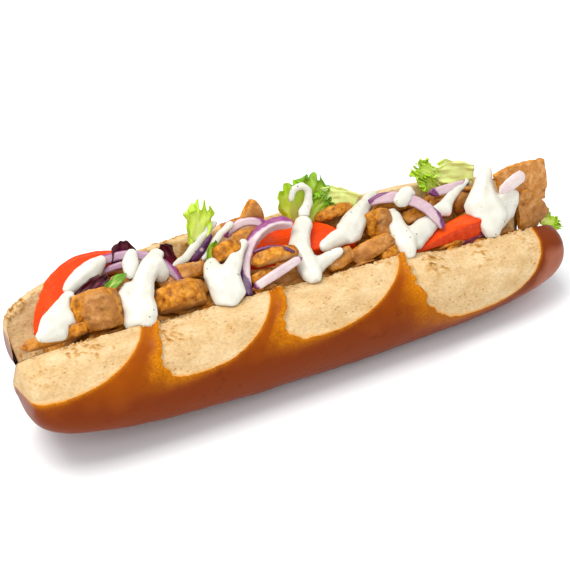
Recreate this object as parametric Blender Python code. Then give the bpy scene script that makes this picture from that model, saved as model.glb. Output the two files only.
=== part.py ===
"""Filled submarine sandwich: a slashed pretzel-style roll, split along its top and opened,
with sliced meat, tomato, red onion, leaves and thick white sauce.

Metres, +Z up. X runs along the roll, -Y is the near half, +Y the far half.
The origin is the centre of the flat base that the roll rests on.
Lengths below are in millimetres and angles in degrees.
"""
import math
import bmesh
import bpy
from mathutils import Vector
from mathutils.bvhtree import BVHTree

MM = 0.001
GAP = 0.3  # kept between neighbouring pieces

# The roll.
NEAR_AXIS = (-22.0, 24.0)  # centre of the near half's outer curve, in Y and Z
NEAR_RADII = (24.0, 24.0)
NEAR_RIM = 96.0  # above the horizontal, where the outer curve meets the cut
FAR_AXIS = (26.0, 27.5)
FAR_RADII = (23.0, 27.5)
FAR_RIM = 82.0
HINGE_HEIGHT = 11.0  # thickness of bread left under the cut
WEB_NOTCH = 9.0  # how far the bread under the cut stops short of the tips
# Each end of each half, left then right: distance from the middle, and the superellipse
# exponents of its rim and of its base, where a higher one is blunter.
NEAR_ENDS = ((145.0, 14.0, 1.9), (144.0, 5.0, 3.2))
FAR_ENDS = ((137.0, 3.0, 3.0), (139.0, 3.0, 3.2))
TIP_SCALE = 0.10
NEAR_TAPER = 0.125  # the left end is this share taller than the middle, the right end lower
FAR_TAPER = 0.055
NEAR_DIP = (0.38, 0.56, 0.085)  # where along the right the near rim drops, and by what share
WIDTH_TAPER = 0.07
STATIONS = 34
OUTER_STEPS = 9
INNER_STEPS = 3
# The slashes that burst open in baking: centre, half width, depth as a share of the outer
# curve, and how far along X the burst has leant at its foot.
BURSTS = (
    (-129.0, 42.0, 0.34, 16.0),
    (-51.0, 28.0, 0.39, 18.0),
    (16.0, 31.0, 0.39, 22.0),
    (88.5, 39.0, 0.57, 8.0),
)
BURST_SQUARENESS = 2.8
BURST_SWEEP = 1.4
BURST_RECESS = 2.4

# The fillings. Each long piece runs from one end point to another; its width is measured
# across, and its facing is how far it leans back from upright, with 90 lying flat.
# name: end, end, width, thickness, facing, (squareness, width at the second end, bend)
MEAT = {
    "meat_rim": ((-140, -15, 53.5), (-107, -14, 53.5), 5.5, 5.5, 45, (5, 1.1, 0.3)),
    "meat_cube": ((-114, -8, 57), (-90, -9, 56), 20, 13, 38, (5, 0.95, 0.5)),
    "meat_left_top": ((-96, 4, 57.5), (-75, 4, 57.5), 9, 6, 50, (4, 0.9, 0.5)),
    "meat_left_front": ((-76, -11, 54), (-50, -12, 53), 12, 11, 55, (6, 0.95, 0.6)),
    "meat_left_back": ((-70, 0, 57), (-43, 1, 56), 9, 5.5, 50, (4, 0.8, 0.6)),
    "meat_peak": ((-11, 21, 58), (-9, 23, 70), 17, 5, 20, (4, 0.25, 0.2)),
    "meat_centre_left": ((-41, 1, 60), (-25, 2, 62.5), 9, 7, 45, (3, 0.8, 0.6)),
    "meat_under_onion": ((-26, 9, 61), (-13, 10, 59), 7, 5, 45, (4, 1.0, 0.3)),
    "meat_centre": ((-24, -9, 59.5), (-1, -9, 57.5), 8, 6, 45, (4, 0.8, 0.5)),
    "meat_centre_low": ((-27, -12, 49.5), (-14, -10, 50.5), 6.5, 7, 45, (4, 1.0, 0.3)),
    "meat_back_strip": ((22, 17, 54), (44, 17, 55.5), 7, 5, 45, (3, 0.8, 0.8)),
    "meat_curl": ((43, 2, 50), (58, 3, 50), 17, 9, 25, (3, 0.9, 0.7)),
    "meat_right_top": ((64, 3, 49), (81, 3, 48.5), 8, 7, 55, (6, 0.9, 0.2)),
    "meat_slant": ((26, -11, 44.5), (50, -10, 50.5), 9, 6.5, 45, (5, 0.9, 0.4)),
    "meat_low": ((11.5, -13, 46.5), (26.5, -12.5, 51), 8, 7, 45, (5, 0.9, 0.3)),
    "meat_end_block": ((41, -14.5, 44.5), (50.5, -14, 44), 7.5, 6.5, 50, (6, 1.0, 0.1)),
    "meat_tall_slab": ((131, -6.9, 42.2), (130.2, 1.3, 63), 26, 4.5, 25, (8, 1.3, 0.1)),
    "meat_end_flap": ((127, -6.2, 51.6), (136.5, -11.3, 31.8), 10, 4.5, 25, (5, 2.3, 0.2)),
    "meat_dark_strip": ((52, 11, 54), (76, 12, 49.5), 6, 5, 45, (4, 0.8, 0.5)),
    "meat_small": ((98, 5, 41), (100, 7, 53), 7, 5, 25, (2.5, 1.0, 0.2)),
}
# name: centre, radii across and along the lean, start, end, section width and thickness,
# heading and lean of the plane that the arc lies in
ONION_ARCS = {
    "onion_left_outer": ((-84.6, -1.8, 42.8), (28.2, 28.2), 33, 128, 3.6, 4.6, -28, 55),
    "onion_left_inner": ((-84.6, -1.8, 42.8), (23.8, 23.8), 44, 127, 3.6, 3.4, -28, 55),
    "onion_middle_back": ((-16, 11, 49.5), (14, 14.5), 55, 150, 3.5, 4.5, -28, 55),
    "onion_hoop": ((-12.6, -14.8, 53.6), (17.5, 27.6), 76, 212, 4.8, 5.8, -28, 20),
    "onion_sliver": ((-19.5, -19.4, 47.6), (20, 20), 62, 120, 1.6, 1.6, -28, 45),
    "onion_right_back": ((53.2, -5.8, 36.9), (27.6, 27.6), 28, 115, 3.6, 6.0, -28, 55),
}
ONION_STRIPS = {
    "onion_front_strip": ((-29, -19, 51.5), (-3, -14.5, 57.5), 4.2, 2.6, 35, (5, 1.0, 0.6)),
    "onion_right_strip": ((83, 9, 55), (108, 10, 55), 5, 2.4, 45, (5, 0.6, 0.6)),
    "onion_end_strip": ((111.3, -9.7, 58.1), (126.9, -8.9, 63.7), 5, 1.8, 25, (3, 1.5, 0.3)),
    "onion_dark_strip": ((-48, 8, 55), (-37, 10, 66), 3.5, 1.6, 30, (4, 0.8, 0.3)),
}
# name: base, tip, width at the base, width at the tip, facing, ruffles, ruffle height
LEAVES = {
    "leaf_frill_left": ((-45, 16, 56), (-36, 24, 78), 4, 17, 15, 2.5, 2.5),
    "leaf_frill_middle": ((47, 20, 57), (5, 25, 66), 9, 20, 15, 3.0, 2.5),
    "leaf_frill_right": ((114, 18, 53), (82, 23, 60), 8, 18, 20, 3.0, 2.5),
    "leaf_end": ((143, -3, 34), (157, -7, 22), 5, 9, 35, 2.0, 1.2),
    "leaf_red_left": ((-81, 14, 62), (-78, 17, 71), 9, 11, 30, 1.0, 0.8),
    "leaf_red_curl": ((-54, 13, 51), (-60, 18, 63), 5, 9, 30, 1.0, 1.6),
    "leaf_red_shade": ((-106, 1, 59.5), (-91, 6, 62.5), 6, 8, 40, 1.5, 0.6),
    "leaf_dark_green": ((-97, -2.5, 61.5), (-84, 2, 64.5), 4, 4.5, 50, 1.0, 0.5),
    "leaf_red_rim": ((89, -13.5, 38.5), (105, -12.5, 39), 5, 4, 40, 1.5, 0.5),
    "leaf_green_inner": ((-42, 2, 57.5), (-37, 5, 65), 5, 7, 30, 1.0, 0.6),
}
# name: centre, radius, start, end, thickness, heading, lean
TOMATO_SLICES = {
    "tomato_left": ((-94.4, 6.2, 38.3), 33, 75, 192, 5.5, -28, 50),
    "tomato_middle": ((0.6, -6.6, 46.8), 33, 15, 174, 6.0, -10, 6),
}
# Each strand is a list of points with the strand's width at each: X, Y, Z, width.
SAUCE = {
    "sauce_left_high": [
        [(-91, 14, 66, 5), (-94.5, 14.5, 62.5, 9), (-101, 13.5, 60, 9.5), (-107.5, 11, 58.5, 6)],
    ],
    "sauce_left_drip": [
        [
            (-109.8, 4.5, 58.5, 6), (-114.4, -1.5, 58.8, 9), (-119, -7.5, 57.5, 14),
            (-125, -15, 58, 14), (-131, -17, 58, 6),
        ],
    ],
    "sauce_left_dab": [[(-77.5, 9.5, 67.5, 6), (-79.5, 6.5, 65, 8), (-81.5, 2.5, 63, 5)]],
    "sauce_left_foot": [
        [
            (-67, 6, 66, 7), (-71, 3, 64.5, 9), (-77, -2.5, 61, 9),
            (-80.5, -8.5, 57, 10), (-84, -14.5, 54.5, 15.5), (-86.5, -19, 50.5, 15),
        ],
        [(-71, 3, 65, 7), (-69.4, 2, 64.8, 8), (-67, 0, 59.5, 8)],
        [(-83.3, 0, 58.6, 5), (-89, -6, 58, 5.5), (-88, -13, 55.5, 7)],
    ],
    "sauce_leaf_left": [
        [(-30, 22, 64, 4), (-35.5, 20, 63, 6), (-42.5, 16, 59, 5), (-51, 10, 57, 5), (-58, 6, 58, 4)],
    ],
    "sauce_thread": [[(-23.5, 18, 63.5, 4), (-30.5, 14, 62.5, 4), (-36.5, 10, 60.5, 4), (-42.5, 7, 57, 4)]],
    "sauce_middle_drip": [
        [(-24, 3, 62, 4), (-32, -5.5, 61, 5.5), (-38, -11, 58.5, 9), (-42.5, -17.5, 53.5, 17)],
        [(-43, -2, 58.5, 7), (-45, -8, 57.5, 9), (-45, -14.5, 55.5, 10)],
    ],
    "sauce_tomato": [
        [(13, 12.5, 57, 8), (7, 4.5, 55.5, 9), (2, -3.5, 54, 10.5), (2, -9.5, 51, 10.5), (1, -18, 48.5, 10)],
        [(3, -15, 49, 9), (10, -12, 49.5, 7), (14, -14, 53, 5), (17.5, -14.5, 54.5, 4)],
    ],
    "sauce_curl": [
        [
            (11, 21.5, 66, 4), (13, 23, 70, 4.5), (18, 23, 71, 4.5),
            (20.5, 21.5, 68, 4.5), (19, 19, 63, 5.5), (15, 16, 59.5, 7),
        ],
    ],
    "sauce_slash": [
        [(58.2, 23, 54.5, 4), (50.1, 18, 53, 7), (39.5, 8, 53, 11), (31, 0, 52.5, 13)],
        [(31, 0, 52.5, 9), (22, -3, 53, 8), (15, -5.5, 53, 6)],
    ],
    "sauce_dot": [[(63.1, 4.4, 60, 8), (67.1, 5.4, 61, 8)]],
    "sauce_vee": [
        [(57.5, 3, 52.5, 8), (56, -4, 49.5, 9.5), (55, -13, 47.5, 11.5), (54, -17.5, 44.5, 8)],
        [(79.5, -3, 48.5, 6), (69.5, -7.5, 48, 10), (60, -12, 46.5, 11.5)],
    ],
    "sauce_right_dab": [
        [(79.5, 0, 50.5, 5), (86, 0, 50.5, 8), (91.5, 5, 51.5, 5), (97, 7, 54.5, 4), (105.5, 10, 55.5, 3)],
    ],
    "sauce_end": [
        [
            (114, 6, 61, 6), (110.5, 3, 56.5, 9), (105.5, -4.5, 50, 19),
            (106, -11, 44.5, 19), (105, -14.5, 41, 10),
        ],
        [(119.5, -7.5, 51, 10), (116, -7.5, 45.5, 13.5), (106, -14, 41.5, 8)],
    ],
}
SAUCE_FACING = Vector((-0.38, -0.72, 0.57))

# The heap of sliced meat under the pieces: stations along and across, and its rise in the middle.
BED_ALONG = 18
BED_ACROSS = 6
BED_REACH = 124.0
BED_RISE = 3.0


def clear_scene():
    for obj in list(bpy.data.objects):
        bpy.data.objects.remove(obj)


def material(name, colour, roughness):
    surface = bpy.data.materials.new(name)
    surface.use_nodes = True
    shader = surface.node_tree.nodes["Principled BSDF"]
    shader.inputs["Base Color"].default_value = (*colour, 1.0)
    shader.inputs["Roughness"].default_value = roughness
    surface.diffuse_color = (*colour, 1.0)
    return surface


def mesh_object(name, points, faces, surfaces, slots=None):
    """An object from points in millimetres, with its faces turned outwards."""
    mesh = bpy.data.meshes.new(name)
    mesh.from_pydata([Vector(p) * MM for p in points], [], faces)
    for surface in surfaces:
        mesh.materials.append(surface)
    if slots:
        mesh.polygons.foreach_set("material_index", slots)
    shape = bmesh.new()
    shape.from_mesh(mesh)
    bmesh.ops.recalc_face_normals(shape, faces=shape.faces)
    bmesh.ops.triangulate(shape, faces=shape.faces)
    shape.to_mesh(mesh)
    shape.free()
    obj = bpy.data.objects.new(name, mesh)
    bpy.context.scene.collection.objects.link(obj)
    return obj


def ring_faces(rings, around):
    """Quads between closed rings of points, with a cap at each end."""
    faces = []
    for i in range(rings - 1):
        for k in range(around):
            a, b = i * around + k, i * around + (k + 1) % around
            faces.append((a, b, b + around, a + around))
    faces.append(tuple(range(around)))
    faces.append(tuple(range((rings - 1) * around, rings * around)))
    return faces


def half_section(side, axis, radii, rim):
    """One half of the roll's mid-section, from its rim down the outside to the base,
    and from the hinge up the cut to the rim: two lists of (y, z, side, share)."""
    outside = []
    for i in range(OUTER_STEPS + 1):
        share = (i / OUTER_STEPS) ** 1.25
        angle = math.radians(rim - (rim + 90.0) * share)
        y = axis[0] + side * radii[0] * math.cos(angle)
        z = axis[1] + radii[1] * math.sin(angle)
        outside.append((y, z, side, share))
    rim_y, rim_z = outside[0][:2]
    cut = []
    for i in range(1, INNER_STEPS):
        t = i / INNER_STEPS
        sag = 2.0 * math.sin(math.pi * t)
        y = rim_y * t + side * sag
        z = HINGE_HEIGHT + (rim_z - HINGE_HEIGHT) * t - sag
        cut.append((y, z, side, -1.0))
    return outside, cut


def roll_section():
    """The closed mid-section of the roll: (y, z, side, share down the outside or -1 on the cut)."""
    near, near_cut = half_section(-1, NEAR_AXIS, NEAR_RADII, NEAR_RIM)
    far, far_cut = half_section(1, FAR_AXIS, FAR_RADII, FAR_RIM)
    section = near + [(0.0, 0.0, 0, 1.0)] + far[::-1]
    return section + far_cut[::-1] + [(0.0, HINGE_HEIGHT, 0, -1.0)] + near_cut


def near_height(u):
    """How tall the near half is at u along the roll, as a share of its middle."""
    t = min(1.0, max(0.0, (u - NEAR_DIP[0]) / (NEAR_DIP[1] - NEAR_DIP[0])))
    return 1 - NEAR_TAPER * u - NEAR_DIP[2] * t * t * (3 - 2 * t)


def tip_of(y0):
    """The point of the end, in Y and Z, that a point of the mid-section at y0 runs to."""
    axis, radii = (NEAR_AXIS, NEAR_RADII) if y0 < 0 else (FAR_AXIS, FAR_RADII)
    t = min(1.0, y0 / (0.5 * axis[0]))
    rise = 0.5 * (axis[1] + radii[1])
    return 0.5 * axis[0] * t, 0.5 * HINGE_HEIGHT + rise * t


def burst(x, side, share):
    """How far a point of the outside lies across a burst: None on the crust, 0 to 1 in a burst."""
    if side == 0 or share < 0:
        return None
    for centre, half_width, depth, slant in BURSTS:
        down = share / depth
        if down >= 1:
            continue
        half = half_width * (1 - down**BURST_SQUARENESS) ** (1 / BURST_SQUARENESS)
        across = (x - centre - side * slant * down**BURST_SWEEP) / half
        if abs(across) < 1:
            return (1 - across) / 2
    return None


def roll_point(u, section_point):
    """A point of the roll's skin, with u from -1 at one tip to 1 at the other."""
    y0, z0, side, share = section_point
    end = 0 if u < 0 else 1
    far_share = min(1.0, max(0.0, 0.5 + y0 / 24.0))
    ends = zip(NEAR_ENDS[end], FAR_ENDS[end])
    half_length, at_rim, at_base = (a * (1 - far_share) + b * far_share for a, b in ends)
    height = near_height(u) * (1 - far_share) + (1 - FAR_TAPER * u) * far_share
    blunt = at_base + (at_rim - at_base) * max(0.0, 1 - abs(share) * 1.3)
    scale = TIP_SCALE + (1 - TIP_SCALE) * (1 - abs(u) ** blunt) ** (1 / blunt)
    tip_y, tip_z = tip_of(y0)
    x = u * (half_length - WEB_NOTCH * max(0.0, 1 - abs(y0) / 10.0))
    y = (tip_y + (y0 - tip_y) * scale) * (1 - WIDTH_TAPER * u)
    z = (tip_z + (z0 - tip_z) * scale) * height
    across = burst(x, side, share)
    if across is not None:
        axis = NEAR_AXIS if side < 0 else FAR_AXIS
        away = Vector((y0 - axis[0], z0 - axis[1])).normalized()
        sink = BURST_RECESS * across**2 * scale
        y -= away.x * sink
        z -= away.y * sink
    return (x, y, z)


def make_roll(crust, crumb):
    section = roll_section()
    around = len(section)
    points, pale = [], []
    for i in range(STATIONS + 1):
        even = 2.0 * i / STATIONS - 1
        u = 0.35 * -math.cos(math.pi * i / STATIONS) + 0.65 * even
        for p in section:
            point = roll_point(u, p)
            points.append(point)
            pale.append(p[3] < 0 or burst(point[0], p[2], p[3]) is not None)
    faces = ring_faces(STATIONS + 1, around)
    slots = [int(all(pale[v] for v in face)) for face in faces]
    return mesh_object("roll", points, faces, (crust, crumb), slots)


def long_frame(start, end, facing):
    """Middle, length and axes of a piece that runs from start to end."""
    start, end = Vector(start), Vector(end)
    along = (end - start).normalized()
    lean = math.radians(facing)
    outward = Vector((0.0, -math.cos(lean), math.sin(lean)))
    outward = (outward - along * outward.dot(along)).normalized()
    return (start + end) / 2, (end - start).length, (along, outward.cross(along), outward)


def plane_frame(heading, lean):
    """Axes of a plane turned about Z by heading, then leant back from flat by lean."""
    a, b = math.radians(heading), math.radians(lean)
    across = Vector((math.cos(a), math.sin(a), 0.0))
    up = Vector((-math.sin(a) * math.cos(b), math.cos(a) * math.cos(b), math.sin(b)))
    return across, up, across.cross(up)


def placed(middle, axes, local):
    return Vector(middle) + axes[0] * local[0] + axes[1] * local[1] + axes[2] * local[2]


def make_chunk(name, start, end, width, thickness, facing, form, surface, seed):
    """A cut piece of meat or onion with an uneven outline, bent across its face."""
    squareness, far_width, bend = form
    middle, length, axes = long_frame(start, end, facing)
    around = 12
    rings = ((0.6, 0.5), (0.97, 0.34), (1.0, -0.3), (0.6, -0.5))
    points = []
    for size, level in rings:
        for k in range(around):
            a = 2 * math.pi * (k + 0.5) / around
            reach = (abs(math.cos(a)) ** squareness + abs(math.sin(a)) ** squareness) ** (-1 / squareness)
            reach *= 1 + 0.05 * math.sin(2 * a + seed) + 0.04 * math.sin(3 * a + 2.1 * seed)
            x, y = reach * size * math.cos(a), reach * size * math.sin(a)
            taper = 1 + (far_width - 1) * (x + 1) / 2
            lift = bend * thickness * (0.3 - x * x)
            local = (x * length / 2, y * width / 2 * taper, level * thickness + lift)
            points.append(placed(middle, axes, local))
    return mesh_object(name, points, ring_faces(len(rings), around), (surface,))


def make_arc(name, centre, radii, start, end, width, thickness, heading, lean, surface):
    """Part of an onion ring, with its skin on the outside of the curve."""
    axes = plane_frame(heading, lean)
    steps = max(6, round((end - start) / 13))
    section = ((-0.5, -0.35), (-0.5, 0.35), (-0.3, 0.5), (0.3, 0.5), (0.5, 0.35), (0.5, -0.35))
    points = []
    for i in range(steps + 1):
        a = math.radians(start + (end - start) * i / steps)
        closing = min(1.0, 0.55 + 0.45 * min(i, steps - i))
        for across, out in section:
            x = (radii[0] + out * thickness * closing) * math.cos(a)
            y = (radii[1] + out * thickness * closing) * math.sin(a)
            points.append(placed(centre, axes, (x, y, across * width * closing)))
    return mesh_object(name, points, ring_faces(steps + 1, len(section)), (surface,))


def make_slice(name, centre, radius, start, end, thickness, heading, lean, surface):
    """A segment of a round slice: an arc of skin closed by a straight cut."""
    axes = plane_frame(heading, lean)
    steps = 11
    rings = ((0.965, 0.5), (1.0, 0.2), (1.0, -0.2), (0.965, -0.5))
    points = []
    for size, level in rings:
        for i in range(steps + 1):
            a = math.radians(start + (end - start) * i / steps)
            x, y = radius * size * math.cos(a), radius * size * math.sin(a)
            points.append(placed(centre, axes, (x, y, level * thickness)))
    return mesh_object(name, points, ring_faces(len(rings), steps + 1), (surface,))


def make_wedge(name, start, end, surface):
    """A wedge of tomato lying on its side: skin above the ridge, flesh below it."""
    middle, length, axes = long_frame(start, end, 25)
    section = ((0.0, 1.0), (-4.5, 0.0), (-8.5, -1.0), (-8.0, -9.0), (2.0, -12.0), (3.5, -6.0))
    points = []
    for i in range(9):
        t = i / 8
        size = min(1.0, 0.16 + 1.15 * t, 0.5 + 3.0 * (1 - t))
        hump = 2.2 * math.sin(math.pi * t)
        for across, out in section:
            local = ((t - 0.5) * length, across * size + hump, out * size)
            points.append(placed(middle, axes, local))
    return mesh_object(name, points, ring_faces(9, len(section)), (surface,))


def make_leaf(name, base, tip, base_width, tip_width, facing, ruffles, height, surface):
    """A thin leaf that widens from its base to a ruffled tip."""
    middle, length, axes = long_frame(base, tip, facing)
    along, across = 5, 3
    top, bottom = [], []
    for i in range(along + 1):
        t = i / along
        half = 0.5 * (base_width + (tip_width - base_width) * t**0.8)
        half *= (1 - 0.55 * max(0.0, t - 0.7) / 0.3)
        for j in range(across + 1):
            s = 2 * j / across - 1
            wave = math.sin(ruffles * math.pi * (t + 0.35 * s))
            lift = height * wave * s * s * t
            x = (t - 0.5) * length * (1 - 0.1 * s * s)
            top.append(placed(middle, axes, (x, s * half, lift + 0.6)))
            bottom.append(placed(middle, axes, (x, s * half, lift - 0.6)))
    faces = []
    row, count = across + 1, len(top)
    for i in range(along):
        for j in range(across):
            a = i * row + j
            faces.append((a, a + 1, a + 1 + row, a + row))
            faces.append((count + a, count + a + row, count + a + 1 + row, count + a + 1))
    for a, b in rim_edges(along, across):
        faces.append((a, b, count + b, count + a))
    return mesh_object(name, top + bottom, faces, (surface,))


def make_strand(name, line, surface):
    """A strand of sauce: a flattened tube with round ends along a line of points."""
    points = []
    count = len(line)
    for i, (x, y, z, width) in enumerate(line):
        before, after = Vector(line[max(0, i - 1)][:3]), Vector(line[min(count - 1, i + 1)][:3])
        along = (after - before).normalized()
        side = SAUCE_FACING.cross(along).normalized()
        out = along.cross(side).normalized()
        if out.dot(SAUCE_FACING) < 0:
            out = -out
        shifts = ((0, 1),)
        if i == 0:
            shifts = ((-0.45, 0.55), (0, 1))
        if i == count - 1:
            shifts = ((0, 1), (0.45, 0.55))
        for shift, size in shifts:
            for k in range(8):
                a = 2 * math.pi * k / 8
                point = Vector((x, y, z)) + along * shift * width
                point += side * math.cos(a) * size * width / 2
                point += out * math.sin(a) * size * min(3.2, 0.32 * width)
                points.append(point)
    return mesh_object(name, points, ring_faces(count + 2, 8), (surface,))


def combine(piece, other, operation):
    """Adds a body to a piece, or cuts it from the piece."""
    change = piece.modifiers.new("change", "BOOLEAN")
    change.operation = operation
    change.solver = "EXACT"
    change.object = other
    bpy.context.view_layer.update()
    graph = bpy.context.evaluated_depsgraph_get()
    piece.data = bpy.data.meshes.new_from_object(piece.evaluated_get(graph))
    piece.modifiers.clear()
    largest_body(piece.data)


def make_sauce(name, lines, surface):
    piece = make_strand(name, lines[0], surface)
    for line in lines[1:]:
        branch = make_strand("branch", line, surface)
        combine(piece, branch, "UNION")
        bpy.data.objects.remove(branch)
    return piece


def tree_of(objects):
    """One tree for ray casting, in millimetres, of several objects."""
    points, faces = [], []
    for obj in objects:
        start = len(points)
        points += [v.co / MM for v in obj.data.vertices]
        faces += [[start + v for v in p.vertices] for p in obj.data.polygons]
    return BVHTree.FromPolygons(points, faces)


def bed_top(x, y, floor, overhead):
    """Height of the meat heap: level with the rims, and under every piece that lies on it."""
    u = x / NEAR_ENDS[0][0]
    low = (NEAR_AXIS[1] + NEAR_RADII[1]) * near_height(u) - 2.0
    high = (FAR_AXIS[1] + FAR_RADII[1]) * (1 - FAR_TAPER * u) - 4.0
    t = min(1.0, max(0.0, (y + 18.0) / 44.0))
    top = low + (high - low) * t + BED_RISE * math.sin(math.pi * t)
    for dx, dy in ((0, 0), (3, 0), (-3, 0), (0, 3), (0, -3)):
        hit = overhead.ray_cast(Vector((x + dx, y + dy, floor)), Vector((0, 0, 1)))[0]
        if hit:
            top = min(top, hit.z - 1.0)
    return max(top, floor + 0.4)


def make_bed(roll, pieces, surface):
    """The heap of meat that fills the roll between its two cut faces."""
    bread, overhead = tree_of([roll]), tree_of(pieces)
    down = Vector((0, 0, -1))
    top, bottom = [], []
    for i in range(BED_ALONG + 1):
        x = BED_REACH * (2 * i / BED_ALONG - 1)
        inside = []
        for step in range(-40, 60):
            y = 0.5 * step
            hit = bread.ray_cast(Vector((x, y, 90)), down)[0]
            if hit and hit.z < 0.86 * (NEAR_AXIS[1] + NEAR_RADII[1]) * near_height(x / NEAR_ENDS[1][0]):
                inside.append(y)
        for j in range(BED_ACROSS + 1):
            y = inside[0] + (inside[-1] - inside[0]) * j / BED_ACROSS
            floor = bread.ray_cast(Vector((x, y, 90)), down)[0].z + 0.9
            height = bed_top(x, y, floor + 0.4, overhead)
            if i in (0, BED_ALONG):
                height = floor + 0.4 + 0.5 * (height - floor)
            top.append(Vector((x, y, height)))
            bottom.append(Vector((x, y, floor)))
    faces = []
    row, count = BED_ACROSS + 1, len(top)
    for i in range(BED_ALONG):
        for j in range(BED_ACROSS):
            a = i * row + j
            faces.append((a, a + 1, a + 1 + row, a + row))
            faces.append((count + a, count + a + row, count + a + 1 + row, count + a + 1))
    for a, b in rim_edges(BED_ALONG, BED_ACROSS):
        faces.append((a, b, count + b, count + a))
    return mesh_object("meat_bed", top + bottom, faces, (surface,))


def rim_edges(along, across):
    """The pairs of points round the edge of a grid, in order."""
    row = across + 1
    edge = list(range(row)) + [i * row + across for i in range(1, along + 1)]
    edge += [along * row + j for j in range(across - 1, -1, -1)]
    edge += [i * row for i in range(along - 1, 0, -1)]
    return [(a, edge[(k + 1) % len(edge)]) for k, a in enumerate(edge)]


def largest_body(mesh):
    """Leaves only the biggest connected body in a mesh."""
    shape = bmesh.new()
    shape.from_mesh(mesh)
    bmesh.ops.remove_doubles(shape, verts=shape.verts, dist=0.001 * MM)
    left = set(shape.verts)
    bodies = []
    while left:
        reached, edge = set(), [left.pop()]
        while edge:
            vert = edge.pop()
            reached.add(vert)
            for link in vert.link_edges:
                other = link.other_vert(vert)
                if other in left:
                    left.discard(other)
                    edge.append(other)
        bodies.append(reached)
    bodies.sort(key=len)
    for body in bodies[:-1]:
        bmesh.ops.delete(shape, geom=list(body), context="VERTS")
    bmesh.ops.recalc_face_normals(shape, faces=shape.faces)
    bmesh.ops.triangulate(shape, faces=shape.faces)
    shape.to_mesh(mesh)
    shape.free()


def bounds(obj):
    points = [v.co for v in obj.data.vertices]
    return [[pick(p[axis] for p in points) for axis in range(3)] for pick in (min, max)]


def near(a, b):
    (low_a, high_a), (low_b, high_b) = bounds(a), bounds(b)
    return all(low_a[i] < high_b[i] and low_b[i] < high_a[i] for i in range(3))


def crosses(a, b):
    trees = []
    for obj in (a, b):
        points = [v.co for v in obj.data.vertices]
        trees.append(BVHTree.FromPolygons(points, [p.vertices for p in obj.data.polygons]))
    return bool(trees[0].overlap(trees[1]))


def room_of(piece):
    """The room that a whole piece takes up: a copy of it, larger by the gap."""
    room = piece.copy()
    room.data = piece.data.copy()
    normals = [v.normal.copy() for v in room.data.vertices]
    for vert, normal in zip(room.data.vertices, normals):
        vert.co += normal * GAP * MM
    bpy.context.scene.collection.objects.link(room)
    return room


def fit_round(piece, rooms):
    """Cuts from a piece the room that its neighbours take up, then adds its own room."""
    own = room_of(piece)
    for room in rooms:
        if near(piece, room) and crosses(piece, room):
            combine(piece, room, "DIFFERENCE")
    rooms.append(own)


def main():
    clear_scene()
    crust = material("crust", (0.42, 0.15, 0.04), 0.35)
    crumb = material("crumb", (0.85, 0.68, 0.42), 0.9)
    meat = material("meat", (0.42, 0.17, 0.05), 0.5)
    tomato = material("tomato", (0.8, 0.1, 0.02), 0.3)
    onion = material("onion", (0.55, 0.28, 0.42), 0.35)
    leaf = material("leaf", (0.35, 0.55, 0.05), 0.5)
    red_leaf = material("red_leaf", (0.12, 0.01, 0.02), 0.4)
    sauce = material("sauce", (0.93, 0.9, 0.82), 0.25)
    roll = make_roll(crust, crumb)
    fillings = []
    for name, values in ONION_ARCS.items():
        fillings.append(make_arc(name, *values, onion))
    for name, values in TOMATO_SLICES.items():
        fillings.append(make_slice(name, *values, tomato))
    fillings.append(make_wedge("tomato_wedge", (60, -15, 41), (106, -10, 45), tomato))
    for seed, (name, values) in enumerate({**MEAT, **ONION_STRIPS}.items()):
        surface = onion if name in ONION_STRIPS else meat
        fillings.append(make_chunk(name, *values, surface, 1.7 * seed))
    for name, values in LEAVES.items():
        surface = red_leaf if "red" in name else leaf
        fillings.append(make_leaf(name, *values, surface))
    rooms = [room_of(roll)]
    for piece in fillings:
        fit_round(piece, rooms)
    bed = make_bed(roll, fillings, meat)
    fit_round(bed, rooms)
    for name, lines in SAUCE.items():
        fit_round(make_sauce(name, lines, sauce), rooms)
    for room in rooms:
        bpy.data.objects.remove(room)


main()
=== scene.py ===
"""Looks of the filled submarine sandwich: baked crust and torn crumb, sliced meat, tomato,
red onion, curly leaves and thick white sauce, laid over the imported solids.

Lengths in this script are millimetres and angles are degrees, unless a name says otherwise.
Meshes are written in metres. X runs along the roll, -Y is its near half, +Z is up.
"""
import itertools
import math
import random

import bmesh
import bpy
import numpy as np
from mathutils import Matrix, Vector
from mathutils.bvhtree import BVHTree


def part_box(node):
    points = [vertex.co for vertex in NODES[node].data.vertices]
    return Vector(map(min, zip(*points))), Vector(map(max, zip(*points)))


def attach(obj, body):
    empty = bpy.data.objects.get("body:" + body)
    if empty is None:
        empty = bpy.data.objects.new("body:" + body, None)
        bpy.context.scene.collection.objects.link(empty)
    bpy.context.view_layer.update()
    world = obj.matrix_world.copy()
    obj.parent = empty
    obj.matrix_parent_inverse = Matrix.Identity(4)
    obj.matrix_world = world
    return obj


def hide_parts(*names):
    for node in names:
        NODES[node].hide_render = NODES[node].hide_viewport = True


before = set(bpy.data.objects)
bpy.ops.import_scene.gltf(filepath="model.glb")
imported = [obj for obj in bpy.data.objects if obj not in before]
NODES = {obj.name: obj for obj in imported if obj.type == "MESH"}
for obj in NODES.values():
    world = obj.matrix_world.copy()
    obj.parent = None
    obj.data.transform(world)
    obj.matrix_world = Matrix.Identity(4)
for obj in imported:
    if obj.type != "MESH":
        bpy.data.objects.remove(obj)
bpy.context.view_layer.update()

MM = 0.001
WHITE = (1.0, 1.0, 1.0)

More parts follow.
